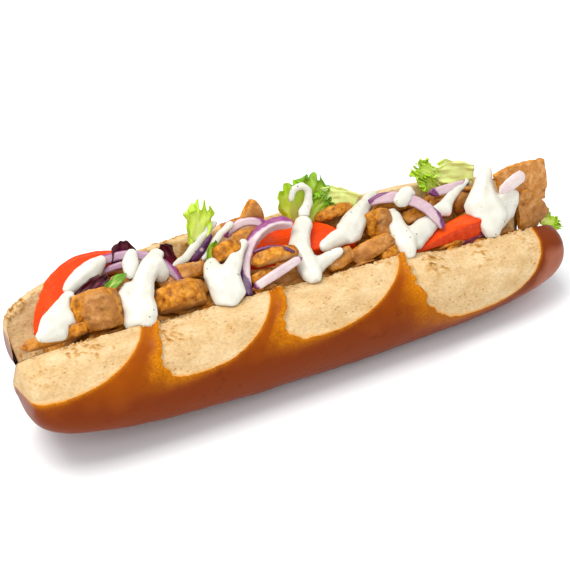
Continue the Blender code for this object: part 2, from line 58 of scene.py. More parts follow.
# The roll, close to the solid model; its ends are shaped a little differently at the rim.
NEAR_AXIS, NEAR_RADII, NEAR_RIM = (-22.0, 24.0), (24.0, 24.0), 96.0
FAR_AXIS, FAR_RADII, FAR_RIM = (26.0, 27.5), (23.0, 27.5), 82.0
HINGE_HEIGHT = 11.0
WEB_NOTCH = 9.0
NEAR_ENDS = ((145.0, 14.0, 1.9), (144.0, 5.0, 3.2))
FAR_ENDS = ((137.0, 3.0, 3.0), (139.0, 3.0, 3.2))
TIP_SCALE = 0.10
NEAR_TAPER, FAR_TAPER, WIDTH_TAPER = 0.125, 0.055, 0.07
NEAR_DIP = (0.38, 0.56, 0.085)
# The slashes that burst open: centre, half width, depth as a share of the outer curve, slant.
BURSTS = (
    (-129.0, 42.0, 0.34, 16.0),
    (-51.0, 28.0, 0.39, 18.0),
    (16.0, 31.0, 0.39, 22.0),
    (88.5, 39.0, 0.57, 8.0),
)
BURST_SQUARENESS, BURST_SWEEP, BURST_RECESS = 2.8, 1.4, 2.4
BURST_STEP, LIP_SWELL = 0.5, 0.9
ROLL_STATIONS = 440
OUTER_STEPS, INNER_STEPS = 74, 30
CUT_SAG = 2.0
# How many crumbs lie on the near rim, and how far they reach from the roll's middle.
CRUMBS, CRUMBS_REACH = 240, 128.0
# Crumb, meat fibres and the like are drawn out along the roll by this much.
ALONG_ROLL = (0.6, 1, 1)


# ---------------------------------------------------------------- noise and meshes


def lattice_noise(points, size, seed=0):
    """Smooth noise from -1 to 1 at an n by 3 array of points, with lumps about size apart."""
    place = np.asarray(points, float) / size + seed * 31.7
    cell = np.floor(place).astype(np.int64)
    part = place - cell
    part = part * part * part * (part * (part * 6 - 15) + 10)
    total = np.zeros(len(place))
    for corner in itertools.product((0, 1), repeat=3):
        at = cell + corner
        mixed = at[:, 0] * 73856093 ^ at[:, 1] * 19349663 ^ at[:, 2] * 83492791
        mixed = (mixed ^ (mixed >> 13)) * 1274126177 & 0xFFFFFFFF
        mixed = (mixed ^ (mixed >> 16)) * 668265263 & 0xFFFFFFFF
        weight = np.prod(np.where(corner, part, 1 - part), axis=1)
        total += weight * (mixed / 2147483648.0 - 1)
    return total


def rough(points, size, seed=0, octaves=3):
    """Layered noise, each layer half the size and half the height of the one before."""
    total = np.zeros(len(points))
    for layer in range(octaves):
        total += lattice_noise(points, size / 2**layer, seed + layer) / 2**layer
    return total


def smooth_step(low, high, values):
    t = np.clip((values - low) / (high - low), 0, 1)
    return t * t * (3 - 2 * t)


def points_of(mesh):
    flat = np.empty(len(mesh.vertices) * 3)
    mesh.vertices.foreach_get("co", flat)
    return flat.reshape(-1, 3) / MM


def normals_of(mesh):
    flat = np.empty(len(mesh.vertices) * 3)
    mesh.vertices.foreach_get("normal", flat)
    return flat.reshape(-1, 3)


def move_points(mesh, points):
    mesh.vertices.foreach_set("co", (points * MM).ravel())
    mesh.update()


def note(mesh, name, values):
    """Keeps one number for each point, for the material to read."""
    layer = mesh.attributes.new(name, "FLOAT", "POINT")
    layer.data.foreach_set("value", np.asarray(values, np.float32))


def piece(name, mesh, surfaces, replaced=()):
    """A smooth piece of the sandwich that rides on it and stands for solids of the model."""
    mesh.name = name
    for surface in surfaces:
        mesh.materials.append(surface)
    mesh.shade_smooth()
    obj = bpy.data.objects.new(name, mesh)
    bpy.context.scene.collection.objects.link(obj)
    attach(obj, "root")
    if replaced:
        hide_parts(*replaced)
    return obj


def mesh_from(points, faces):
    mesh = bpy.data.meshes.new("made")
    mesh.from_pydata((np.asarray(points, float) * MM).tolist(), [], faces)
    return mesh


def welded(node):
    """The node's own mesh with its split corners joined again, as a bmesh."""
    shape = bmesh.new()
    shape.from_mesh(NODES[node].data)
    bmesh.ops.remove_doubles(shape, verts=shape.verts, dist=0.002 * MM)
    return shape


def refined(node, voxel, rounds=2, swell=0.0):
    """A fine even mesh of a node's solid: remeshed, smoothed, and grown by swell."""
    shape = welded(node)
    mesh = bpy.data.meshes.new(node)
    shape.to_mesh(mesh)
    shape.free()
    return remeshed(mesh, voxel, rounds, swell)


def remeshed(mesh, voxel, rounds, swell):
    helper = bpy.data.objects.new("helper", mesh)
    bpy.context.scene.collection.objects.link(helper)
    remesh = helper.modifiers.new("Remesh", "REMESH")
    remesh.mode = "VOXEL"
    remesh.voxel_size = voxel * MM
    relax = helper.modifiers.new("Smooth", "SMOOTH")
    relax.iterations = rounds
    relax.factor = 0.5
    graph = bpy.context.evaluated_depsgraph_get()
    fine = bpy.data.meshes.new_from_object(helper.evaluated_get(graph))
    bpy.data.objects.remove(helper)
    fine.materials.clear()
    if swell:
        move_points(fine, points_of(fine) + normals_of(fine) * swell)
    return fine


def own_axes(points):
    """Middle of a cloud of points and its axes, from the longest to the thinnest, as rows."""
    middle = points.mean(axis=0)
    _, axes = np.linalg.eigh(np.cov((points - middle).T))
    return middle, axes.T[::-1]


# ---------------------------------------------------------------- materials


def new_surface(name, roughness, **values):
    """A Principled material; values are set on the shader's own sockets."""
    surface = bpy.data.materials.new(name)
    surface.use_nodes = True
    shader = surface.node_tree.nodes["Principled BSDF"]
    shader.inputs["Roughness"].default_value = roughness
    for socket, value in values.items():
        shader.inputs[socket.replace("_", " ")].default_value = value
    return surface, surface.node_tree, shader


def place_in(tree, stretch=(1, 1, 1), turn=(0, 0, 0)):
    """Object coordinates in metres, stretched and turned."""
    where = tree.nodes.new("ShaderNodeTexCoord")
    mapping = tree.nodes.new("ShaderNodeMapping")
    mapping.inputs["Scale"].default_value = stretch
    mapping.inputs["Rotation"].default_value = [math.radians(a) for a in turn]
    tree.links.new(where.outputs["Object"], mapping.inputs["Vector"])
    return mapping.outputs["Vector"]


def noise_in(tree, where, size, detail=3.0, roughness=0.55, distortion=0.0):
    """Noise from 0 to 1 with lumps about size millimetres apart."""
    node = tree.nodes.new("ShaderNodeTexNoise")
    node.inputs["Scale"].default_value = 1 / (size * MM)
    node.inputs["Detail"].default_value = detail
    node.inputs["Roughness"].default_value = roughness
    node.inputs["Distortion"].default_value = distortion
    tree.links.new(where, node.inputs["Vector"])
    return node.outputs["Fac"]


def cells_in(tree, where, size):
    """Distance to the nearest of scattered points about size millimetres apart."""
    node = tree.nodes.new("ShaderNodeTexVoronoi")
    node.inputs["Scale"].default_value = 1 / (size * MM)
    tree.links.new(where, node.inputs["Vector"])
    return node.outputs["Distance"]


def noted(tree, name):
    node = tree.nodes.new("ShaderNodeAttribute")
    node.attribute_name = name
    return node.outputs["Fac"]


def ramp(tree, factor, *stops):
    """Colours at positions: each stop is (position, (r, g, b))."""
    node = tree.nodes.new("ShaderNodeValToRGB")
    band = node.color_ramp
    while len(band.elements) < len(stops):
        band.elements.new(1.0)
    for element, (position, colour) in zip(band.elements, stops):
        element.position = position
        element.color = (*colour, 1.0)
    tree.links.new(factor, node.inputs["Fac"])
    return node.outputs["Color"]


def grey_ramp(tree, factor, *stops):
    return ramp(tree, factor, *((at, (value,) * 3) for at, value in stops))


def blend_of(tree, factor, first, second, mode="MIX"):
    """Mix of two colours; each may be a socket or a plain colour."""
    node = tree.nodes.new("ShaderNodeMix")
    node.data_type = "RGBA"
    node.blend_type = mode
    ends = ((factor, "Factor_Float"), (first, "A_Color"), (second, "B_Color"))
    for value, socket in ends:
        target = next(s for s in node.inputs if s.identifier == socket)
        if isinstance(value, bpy.types.NodeSocket):
            tree.links.new(value, target)
        elif socket == "Factor_Float":
            target.default_value = value
        else:
            target.default_value = (*value, 1.0)
    return next(s for s in node.outputs if s.identifier == "Result_Color")


def math_of(tree, operation, first, second):
    node = tree.nodes.new("ShaderNodeMath")
    node.operation = operation
    for value, target in zip((first, second), node.inputs):
        if isinstance(value, bpy.types.NodeSocket):
            tree.links.new(value, target)
        else:
            target.default_value = value
    return node.outputs["Value"]


def bump_of(tree, shader, height, depth, strength=1.0, under=None):
    """Relief of depth millimetres on the shader, over the relief under it."""
    node = tree.nodes.new("ShaderNodeBump")
    node.inputs["Strength"].default_value = strength
    node.inputs["Distance"].default_value = depth * MM
    tree.links.new(height, node.inputs["Height"])
    if under:
        tree.links.new(under, node.inputs["Normal"])
    tree.links.new(node.outputs["Normal"], shader.inputs["Normal"])
    return node.outputs["Normal"]


def bread_surface():
    """Baked crust, and torn crumb where the note called inside is over a half."""
    surface, tree, shader = new_surface("bread", 0.4, Specular_IOR_Level=0.07)
    where = place_in(tree)
    patches = noise_in(tree, where, 20.0, 3.0, 0.5)
    grain = noise_in(tree, where, 1.0, 4.0, 0.65)
    # The note called low darkens the crust towards the bottom of the outside as painted shade, and
    # turns it redder towards the right end.
    low = noted(tree, "low")
    tone = math_of(tree, "ADD", math_of(tree, "MULTIPLY", patches, 0.45), low)
    baked = ramp(
        tree,
        tone,
        (0.12, (0.46, 0.130, 0.001)),
        (0.34, (0.29, 0.058, 0.001)),
        (0.58, (0.185, 0.028, 0.001)),
        (0.78, (0.18, 0.030, 0.003)),
        (0.92, (0.34, 0.105, 0.055)),
    )
    golden = ramp(tree, grain, (0.35, (0.41, 0.105, 0.001)), (0.7, (0.70, 0.25, 0.002)))
    baked = blend_of(tree, noted(tree, "lip"), baked, golden)
    scorch = grey_ramp(tree, noise_in(tree, where, 7.0, 3.0, 0.6), (0.62, 1.0), (0.74, 0.72))
    baked = blend_of(tree, 0.8, baked, scorch, "MULTIPLY")
    crumb_where = place_in(tree, ALONG_ROLL, (0, 12, 0))
    broad = noise_in(tree, crumb_where, 8.0, 3.0, 0.55)
    fine = noise_in(tree, crumb_where, 0.9, 4.0, 0.65)
    pale = ramp(
        tree,
        broad,
        (0.32, (0.60, 0.385, 0.175)),
        (0.52, (0.68, 0.465, 0.235)),
        (0.75, (0.76, 0.56, 0.325)),
    )
    # Painted shade: the crumb is darkened in its holes.
    hole_shade = ramp(
        tree, noted(tree, "pit_shade"), (0.0, WHITE), (0.5, (0.82, 0.66, 0.42)), (1.0, (0.44, 0.27, 0.11))
    )
    pale = blend_of(tree, 1.0, pale, hole_shade, "MULTIPLY")
    pale = blend_of(tree, 1.0, pale, grey_ramp(tree, fine, (0.3, 0.80), (0.6, 1.06)), "MULTIPLY")
    # Small dark dots of painted shade stand for pinholes in the open parts of the crumb.
    pinholes = cells_in(tree, crumb_where, 1.7)
    pinhole_shade = ramp(tree, pinholes, (0.10, (0.62, 0.46, 0.27)), (0.30, WHITE))
    openness = noise_in(tree, crumb_where, 9.0, 3.0, 0.6)
    open_crumb = grey_ramp(tree, openness, (0.47, 0.0), (0.60, 1.0))
    pale = blend_of(tree, open_crumb, pale, blend_of(tree, 1.0, pale, pinhole_shade, "MULTIPLY"))
    pale = blend_of(tree, noted(tree, "toast"), pale, (0.66, 0.27, 0.035))
    ragged = math_of(tree, "MULTIPLY", math_of(tree, "SUBTRACT", grain, 0.5), 0.10)
    share = math_of(tree, "ADD", noted(tree, "inside"), ragged)
    torn = grey_ramp(tree, share, (0.48, 0.0), (0.52, 1.0))
    tree.links.new(blend_of(tree, torn, baked, pale), shader.inputs["Base Color"])
    gloss = grey_ramp(tree, patches, (0.3, 0.27), (0.75, 0.40))
    tree.links.new(blend_of(tree, torn, gloss, (0.95, 0.95, 0.95)), shader.inputs["Roughness"])
    wrinkles = noise_in(tree, where, 3.0, 4.0, 0.6)
    crust_height = grey_ramp(tree, wrinkles, (0.0, 0.30), (1.0, 0.70))
    crumb_height = noise_in(tree, crumb_where, 1.5, 4.0, 0.7)
    under = bump_of(tree, shader, blend_of(tree, torn, crust_height, crumb_height), 0.7, 0.8)
    bump_of(tree, shader, fine, 0.12, 0.5, under)
    return surface


# ---------------------------------------------------------------- the roll


def half_section(side, axis, radii, rim):
    outside = []
    for i in range(OUTER_STEPS + 1):
        share = (i / OUTER_STEPS) ** 1.25
        angle = math.radians(rim - (rim + 90.0) * share)
        y = axis[0] + side * radii[0] * math.cos(angle)
        outside.append((y, axis[1] + radii[1] * math.sin(angle), side, share))
    rim_y, rim_z = outside[0][:2]
    cut = []
    for i in range(1, INNER_STEPS):
        t = i / INNER_STEPS
        sag = CUT_SAG * math.sin(math.pi * t)
        z = HINGE_HEIGHT + (rim_z - HINGE_HEIGHT) * t - sag
        cut.append((rim_y * t + side * sag, z, side, -t))
    return outside, cut


def roll_section():
    """The closed mid-section, as (y, z, side, share) at each point.

    The share is how far down the outside, or minus how far up the cut, the point lies."""
    near, near_cut = half_section(-1, NEAR_AXIS, NEAR_RADII, NEAR_RIM)
    far, far_cut = half_section(1, FAR_AXIS, FAR_RADII, FAR_RIM)
    section = near + [(-11.0, 0.0, 0, 1.0), (0.0, 0.0, 0, 1.0), (13.0, 0.0, 0, 1.0)] + far[::-1]
    return section + far_cut[::-1] + [(0.0, HINGE_HEIGHT, 0, -0.01)] + near_cut


def near_height(u):
    t = min(1.0, max(0.0, (u - NEAR_DIP[0]) / (NEAR_DIP[1] - NEAR_DIP[0])))
    return 1 - NEAR_TAPER * u - NEAR_DIP[2] * t * t * (3 - 2 * t)


def tip_of(y0):
    axis, radii = (NEAR_AXIS, NEAR_RADII) if y0 < 0 else (FAR_AXIS, FAR_RADII)
    t = min(1.0, y0 / (0.5 * axis[0]))
    rise = 0.5 * (axis[1] + radii[1])
    return 0.5 * axis[0] * t, 0.5 * HINGE_HEIGHT + rise * t


def burst_at(x, side, share, ragged):
    """How far inside the nearest burst a point of the outside lies, and how far across it.

    The first number is 1 in a burst's middle, 0 on its edge and negative on the crust.
    The second is 0 at its right lip and 1 at its left lip, which is the ragged one."""
    best = (-9.0, 0.5)
    for centre, half_width, depth, slant in BURSTS:
        down = share / depth
        across = (x - centre - side * slant * down**BURST_SWEEP) / half_width
        reach = abs(across) ** BURST_SQUARENESS + down**BURST_SQUARENESS
        leftness = min(1.0, max(0.0, 0.5 - 0.5 * across))
        inside = 1 - reach ** (1 / BURST_SQUARENESS) + ragged * (0.006 + 0.04 * leftness**3)
        if inside > best[0]:
            best = (inside, leftness)
    return best


def roll_point(u, section_point):
    """Where a point of the section lies at u along the roll, before any burst: x, y, z, scale."""
    y0, z0, side, share = section_point
    end = 0 if u < 0 else 1
    far_share = min(1.0, max(0.0, 0.5 + y0 / 24.0))
    ends = zip(NEAR_ENDS[end], FAR_ENDS[end])
    half_length, at_rim, at_base = (a * (1 - far_share) + b * far_share for a, b in ends)
    height = near_height(u) * (1 - far_share) + (1 - FAR_TAPER * u) * far_share
    down = share if share > 0 else min(1.0, 1.3 * (1 + share)) if side else 1.0
    blunt = at_base + (at_rim - at_base) * max(0.0, 1 - down * 1.3)
    scale = TIP_SCALE + (1 - TIP_SCALE) * (1 - abs(u) ** blunt) ** (1 / blunt)
    tip_y, tip_z = tip_of(y0)
    x = u * (half_length - WEB_NOTCH * max(0.0, 1 - abs(y0) / 10.0))
    y = (tip_y + (y0 - tip_y) * scale) * (1 - WIDTH_TAPER * u)
    z = (tip_z + (z0 - tip_z) * scale) * height
    return x, y, z, scale


def make_roll():
    """The roll; returns the places on its near rim, with their normals, for the crumbs."""
    section = roll_section()
    around = len(section)
    points, sides, shares, scales = [], [], [], []
    for i in range(ROLL_STATIONS + 1):
        even = 2.0 * i / ROLL_STATIONS - 1
        u = 0.35 * -math.cos(math.pi * i / ROLL_STATIONS) + 0.65 * even
        for section_point in section:
            x, y, z, scale = roll_point(u, section_point)
            points.append((x, y, z))
            sides.append(section_point[2])
            shares.append(section_point[3])
            scales.append(scale)
    points = np.array(points)
    shares = np.array(shares)
    ragged = rough(points, 4.0, 3)
    inside = np.full(len(points), -9.0)
    across = np.full(len(points), 0.5)
    for i, (point, side, share) in enumerate(zip(points, sides, shares)):
        if side and share >= 0:
            inside[i], across[i] = burst_at(point[0], side, share, ragged[i])
    cut = shares < 0
    crumb = cut | (inside > 0)
    # The burst crumb lies under the crust on its left and flush with it on its right.
    shell = np.where(np.array(sides) < 0, -1.0, 1.0)
    axes = np.where(shell[:, None] < 0, NEAR_AXIS, FAR_AXIS)
    away = np.array([section[i % around][:2] for i in range(len(points))]) - axes
    away /= np.linalg.norm(away, axis=1)[:, None]
    scales = np.array(scales)
    recess = (BURST_STEP + BURST_RECESS * across**2) * smooth_step(0, 0.05, inside)
    sink = np.where(inside > 0, recess, 0) * scales
    swollen = np.where(~crumb, LIP_SWELL * smooth_step(-0.25, -0.02, inside), 0) * across**2
    points[:, 1:] -= away * (sink - swollen)[:, None]
    faces = []
    for i, k in itertools.product(range(ROLL_STATIONS), range(around)):
        a, b = i * around + k, i * around + (k + 1) % around
        faces.append((a, a + around, b + around, b))
    faces.append(tuple(range(around)))
    faces.append(tuple(range(ROLL_STATIONS * around, (ROLL_STATIONS + 1) * around))[::-1])
    mesh = mesh_from(points, faces)
    outward = normals_of(mesh)
    # Torn crumb: pores in clusters, a soft grain and a ragged rim.
    stretched = points * ALONG_ROLL
    clusters = smooth_step(0.0, 0.55, rough(points, 13.0, 33, 2))
    clusters = clusters * np.where(cut, 1, smooth_step(0.30, 0.12, shares))
    bubbles = lattice_noise(stretched, 1.7, 5) + 0.5 * lattice_noise(stretched, 0.9, 9)
    pores = smooth_step(0.35, 0.8, bubbles)
    tears = smooth_step(0.86, 0.98, 1 - np.abs(rough(stretched, 6.0, 21)))
    near_rim = np.exp(-((np.where(cut, 1 + shares, shares) / 0.035) ** 2))
    # At the tips some faces are long, and detail at their corners would show as stripes.
    grid = points.reshape(-1, around, 3)
    steps = [np.roll(grid, shift, axis=1) - grid for shift in (1, -1)]
    steps += [np.diff(grid, axis=0, prepend=grid[:1]), np.diff(grid, axis=0, append=grid[-1:])]
    longest = np.max([np.linalg.norm(step, axis=2) for step in steps], axis=0)
    off_tip = smooth_step(4.5, 2.5, longest).ravel()
    holes = np.maximum(pores * np.maximum(clusters, 0.6 * near_rim), 0.7 * tears * clusters)
    holes = holes * off_tip
    grain = 0.14 * rough(points, 1.6, 11) + 0.40 * rough(points, 9.0, 13)
    torn = near_rim * (0.9 * rough(points, 2.6, 17) - 0.1)
    crumb_height = grain - 0.9 * holes + torn
    crust_height = 0.30 * rough(points, 16.0, 2, 2) + 0.04 * rough(points, 2.5, 4)
    fade = np.where(cut, 1.0, smooth_step(0.0, 0.08, inside))
    resting = smooth_step(0.0, 3.0, points[:, 2])
    height = np.where(crumb, crumb_height * fade, crust_height * resting)
    height *= off_tip
    points += outward * height[:, None]
    points[:, 2] = np.maximum(points[:, 2], 0.0)
    move_points(mesh, points)
    # Gold next to the bursts: broad at their left lips and feet, thin at their right edges.
    reach = 0.025 + 0.055 * across + 0.10 * across**2 * smooth_step(0.12, 0.3, shares)
    lip = np.exp(-((np.maximum(0, -inside) / reach) ** 2)) * (0.6 + 0.4 * across)
    lip = np.where(crumb, 1.0, lip) * (1 - 0.5 * smooth_step(0.25, 0.5, shares))
    toast = np.where(cut, 0.0, 1 - smooth_step(0.0, 0.03, inside))
    note(mesh, "inside", np.where(cut, 1.0, np.clip(0.5 + 6 * inside, 0, 1)))
    note(mesh, "lip", lip)
    # Darker towards the bottom of the outside is painted shade; ruddy is the redder crust towards
    # the right end.
    ruddy = 0.45 * smooth_step(95.0, 138.0, points[:, 0])
    note(mesh, "low", smooth_step(0.05, 0.7, shares) * 0.5 + ruddy)
    # The holes are also darkened in colour, as painted shade in them.
    note(mesh, "pit_shade", holes)
    note(mesh, "toast", toast)
    piece("roll_baked", mesh, (bread_surface(),), ("roll",))
    on_rim = (near_rim > 0.5) & (shell < 0) & (np.abs(points[:, 0]) < CRUMBS_REACH)
    return [(Vector(points[i]), Vector(outward[i])) for i in np.flatnonzero(on_rim)]


# ---------------------------------------------------------------- meat


def meat_surface():
    surface, tree, shader = new_surface(
        "meat", 0.45, Subsurface_Weight=0.05, Subsurface_Scale=0.002, Specular_IOR_Level=0.14
    )
    where = place_in(tree)
    blotch = noise_in(tree, where, 4.5, 4.0, 0.6, 0.6)
    grain = noise_in(tree, where, 0.8, 4.0, 0.65)
    flesh = ramp(
        tree,
        blotch,
        (0.25, (0.27, 0.090, 0.014)),
        (0.5, (0.45, 0.185, 0.045)),
        (0.75, (0.66, 0.355, 0.130)),
    )
    browned = ramp(
        tree,
        noise_in(tree, where, 3.0, 4.0, 0.6),
        (0.28, (0.15, 0.036, 0.003)),
        (0.46, (0.46, 0.150, 0.008)),
        (0.7, (0.78, 0.34, 0.032)),
    )
    colour = blend_of(tree, noted(tree, "edge"), flesh, browned)
    speckle = grey_ramp(tree, grain, (0.32, 0.72), (0.5, 1.05))
    colour = blend_of(tree, 0.7, colour, speckle, "MULTIPLY")
    shade = grey_ramp(tree, noted(tree, "tone"), (0.0, 0.62), (1.0, 1.25))
    colour = blend_of(tree, 1.0, colour, shade, "MULTIPLY")
    # Painted shade: the meat is darkened in its pits.
    pit_darkening = grey_ramp(tree, noted(tree, "pit_shade"), (0.0, 1.0), (1.0, 0.6))
    tree.links.new(blend_of(tree, 1.0, colour, pit_darkening, "MULTIPLY"), shader.inputs["Base Color"])
    tree.links.new(grey_ramp(tree, blotch, (0.3, 0.28), (0.7, 0.52)), shader.inputs["Roughness"])
    bump_of(tree, shader, grain, 0.15, 0.6)
    return surface


def cook(mesh, seed, tone, ragged=0.8):
    """Meat texture on a fine mesh: fibres, lumps, pits and an uneven browned edge."""
    points, outward = points_of(mesh), normals_of(mesh)
    middle, axes = own_axes(points)
    local = (points - middle) @ axes.T
    edge = 1 - smooth_step(0.55, 0.9, np.abs(outward @ axes[2]))
    stretched = local * (0.3, 1, 1)
    fibre = lattice_noise(stretched, 1.2, seed) + 0.5 * lattice_noise(stretched, 0.7, seed + 3)
    pits = smooth_step(0.7, 1.1, rough(local * ALONG_ROLL, 2.6, seed + 5, 2))
    height = 0.07 * fibre + 0.12 * rough(points, 7.0, seed + 7, 2) - 0.3 * pits
    height += edge * ragged * 0.4 * rough(points, 2.4, seed + 9)
    move_points(mesh, points + outward * height[:, None])
    note(mesh, "edge", np.clip(edge * 0.9 + 0.35 * lattice_noise(points, 3.5, seed + 11), 0, 1))
    # The pits are also darkened by the material, as painted shade in them.
    note(mesh, "pit_shade", pits)
    note(mesh, "tone", np.full(len(points), tone))


# How light each piece is, and how ragged its edge; the rest are as USUAL_MEAT.
USUAL_MEAT = (0.55, 0.8)
MEAT_LOOKS = {
    "meat_rim": (0.62, 0.9),
    "meat_cube": (0.45, 0.6),
    "meat_left_top": (0.62, 0.8),
    "meat_left_front": (0.50, 0.6),
    "meat_left_back": (0.60, 0.8),
    "meat_peak": (0.72, 0.6),
    "meat_tall_slab": (0.78, 1.1),
    "meat_end_flap": (0.55, 0.5),
    "meat_curl": (0.40, 0.8),
    "meat_dark_strip": (0.35, 0.7),
    "meat_small": (0.40, 0.5),
    "meat_right_top": (0.72, 0.8),
    "meat_slant": (0.66, 0.6),
    "meat_end_block": (0.45, 0.6),
}


def make_meat(surface):
    nodes = [name for name in sorted(NODES) if name.startswith("meat_") and name != "meat_bed"]
    for seed, node in enumerate(nodes):
        mesh = refined(node, 0.5, 1, 0.15)
        tone, ragged = MEAT_LOOKS.get(node, USUAL_MEAT)
        cook(mesh, 40 * seed, tone, ragged)
        piece(node + "_cooked", mesh, (surface,), (node,))


def tree_of(mesh):
    return BVHTree.FromPolygons(
        [v.co.copy() for v in mesh.vertices], [tuple(p.vertices) for p in mesh.polygons]
    )


def strip_points(length, width, thickness, bend, twist, draw):
    """Rings of points of one shred along X: a flattened, bent and twisted strip with blunt ends."""
    rings, around = 13, 8
    points = []
    for i in range(rings):
        t = 2 * i / (rings - 1) - 1
        blunt = (1 - abs(t) ** 4) ** 0.5 * 0.94 + 0.06
        for k in range(around):
            a = 2 * math.pi * (k + 0.5) / around
            y = 0.5 * width * blunt * math.copysign(abs(math.cos(a)) ** 0.6, math.cos(a))
            z = 0.5 * thickness * blunt * math.copysign(abs(math.sin(a)) ** 0.8, math.sin(a))
            turn = twist * t
            y, z = y * math.cos(turn) - z * math.sin(turn), y * math.sin(turn) + z * math.cos(turn)
            points.append((0.5 * length * t, y + draw * t * t * width, z - bend * t * t * length))
    return points, ring_faces(rings, around)


def ring_faces(rings, around):
    faces = []
    for i in range(rings - 1):
        for k in range(around):
            a, b = i * around + k, i * around + (k + 1) % around
            faces.append((a, b, b + around, a + around))
    faces.append(tuple(range(around))[::-1])
    faces.append(tuple(range((rings - 1) * around, rings * around)))
    return faces


SHREDS = 190
ABOVE_ALL = 90.0
STEEPEST_SHRED = 0.4
SHRED_LENGTHS = (9.0, 24.0)
SHRED_WIDTHS = (2.6, 6.0)
SHRED_THICKNESS = (1.3, 2.6)


def turn_to(first, second):
    return Vector(first).rotation_difference(Vector(second))


def make_heap(surface):
    """The sliced meat under the pieces: a sunken core with loose shreds lying over it."""
    core = refined("meat_bed", 1.1, 2, -0.9)
    cook(core, 900, 0.35, 0.8)
    cast = tree_of(core)
    draws = random.Random(11)
    low, high = (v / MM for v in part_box("meat_bed"))
    points, faces, laid = [], [], 0
    while laid < SHREDS:
        x = draws.uniform(low.x + 6, high.x - 4)
        y = draws.uniform(low.y + 3, high.y - 4)
        hit, normal, _, _ = cast.ray_cast(Vector((x, y, ABOVE_ALL)) * MM, Vector((0, 0, -1)))
        if hit is None or normal.z < STEEPEST_SHRED:
            continue
        strip, strip_faces = strip_points(
            draws.uniform(*SHRED_LENGTHS),
            draws.uniform(*SHRED_WIDTHS),
            draws.uniform(*SHRED_THICKNESS),
            draws.uniform(-0.04, 0.12),
            draws.uniform(-0.9, 0.9),
            draws.uniform(-0.5, 0.5),
        )
        turn = Vector((0, 0, 1)).rotation_difference(normal)
        heading = draws.gauss(0, 0.45)
        tilt = draws.gauss(0, 0.3)
        lean = turn_to((0, 1, 0), (0, math.cos(tilt), math.sin(tilt)))
        swing = turn_to((1, 0, 0), (math.cos(heading), math.sin(heading), 0))
        # Later shreds lie a little higher than the first ones.
        lift = 0.2 + 1.2 * (laid / SHREDS)
        start = len(points)
        for p in strip:
            local = Vector(p)
            for rotation in (lean, swing, turn):
                local.rotate(rotation)
            points.append(hit / MM + local + normal * lift)
        faces += [tuple(start + v for v in face) for face in strip_faces]
        # Passing over one number here keeps every later shred where it is.
        draws.random()
        laid += 1
    mesh = mesh_from(points, faces)
    shape = bmesh.new()
    shape.from_mesh(mesh)
    bmesh.ops.subdivide_edges(shape, edges=shape.edges, cuts=1, use_grid_fill=True, smooth=0.5)
    shape.to_mesh(mesh)
    shape.free()
    places, outward = points_of(mesh), normals_of(mesh)
    tone = 0.5 + 0.5 * lattice_noise(places, 9.0, 77)
    height = 0.28 * rough(places * (0.5, 1, 1), 2.0, 71)
    move_points(mesh, places + outward * height[:, None])
    note(mesh, "edge", np.clip(0.5 + 0.7 * lattice_noise(places, 4.0, 73), 0, 1))
    # Scattered spots that the material darkens as painted pit shade.
    note(mesh, "pit_shade", smooth_step(0.5, 1.0, rough(places, 2.2, 75, 2)))
    note(mesh, "tone", tone)
    piece("meat_heap_core", core, (surface,), ("meat_bed",))
    piece("meat_shreds", mesh, (surface,))


# ---------------------------------------------------------------- tomato and onion


def tomato_surface():
    surface, tree, shader = new_surface(
        "tomato", 0.25, Subsurface_Weight=0.04, Subsurface_Scale=0.002, Specular_IOR_Level=0.12
    )
    shader.inputs["Subsurface Radius"].default_value = (1.0, 0.35, 0.1)
    where = place_in(tree)
    broad = noise_in(tree, where, 14.0, 2.0, 0.5)
    streaks = noise_in(tree, place_in(tree, (1, 3.0, 0.6)), 3.0, 3.0, 0.6)
    skin = ramp(
        tree,
        broad,
        (0.3, (0.76, 0.042, 0.001)),
        (0.55, (0.86, 0.062, 0.001)),
        (0.75, (0.92, 0.12, 0.002)),
    )
    flesh = ramp(
        tree,
        streaks,
        (0.3, (0.58, 0.040, 0.008)),
        (0.6, (0.72, 0.065, 0.012)),
        (0.8, (0.80, 0.13, 0.03)),
    )
    # The note called flesh marks the cut faces, and on the wedge also its underside, painted darker
    # as shade.
    colour = blend_of(tree, noted(tree, "flesh"), skin, flesh)
    fibres = grey_ramp(tree, streaks, (0.3, 0.92), (0.7, 1.05))
    tree.links.new(blend_of(tree, 0.6, colour, fibres, "MULTIPLY"), shader.inputs["Base Color"])
    tree.links.new(grey_ramp(tree, streaks, (0.3, 0.2), (0.8, 0.36)), shader.inputs["Roughness"])
    bump_of(tree, shader, noise_in(tree, where, 1.4, 3.0, 0.6), 0.12, 0.5)
    return surface


def make_tomato(surface):
    for seed, node in enumerate(("tomato_left", "tomato_middle", "tomato_wedge")):
        mesh = refined(node, 0.6, 6, 0.2)
        points, outward = points_of(mesh), normals_of(mesh)
        _, axes = own_axes(points)
        face = smooth_step(0.75, 0.95, np.abs(outward @ axes[2]))
        # The wedge's downward-facing side takes the darker flesh red as painted shade.
        shaded_underside = smooth_step(0.62, 0.45, outward[:, 2]) if node == "tomato_wedge" else 0
        height = 0.25 * rough(points, 9.0, seed, 2) + face * 0.08 * rough(points, 2.5, seed + 20)
        move_points(mesh, points + outward * height[:, None])
        note(mesh, "flesh", np.clip(0.35 * face + shaded_underside, 0, 1))
        piece(node + "_slice", mesh, (surface,), (node,))


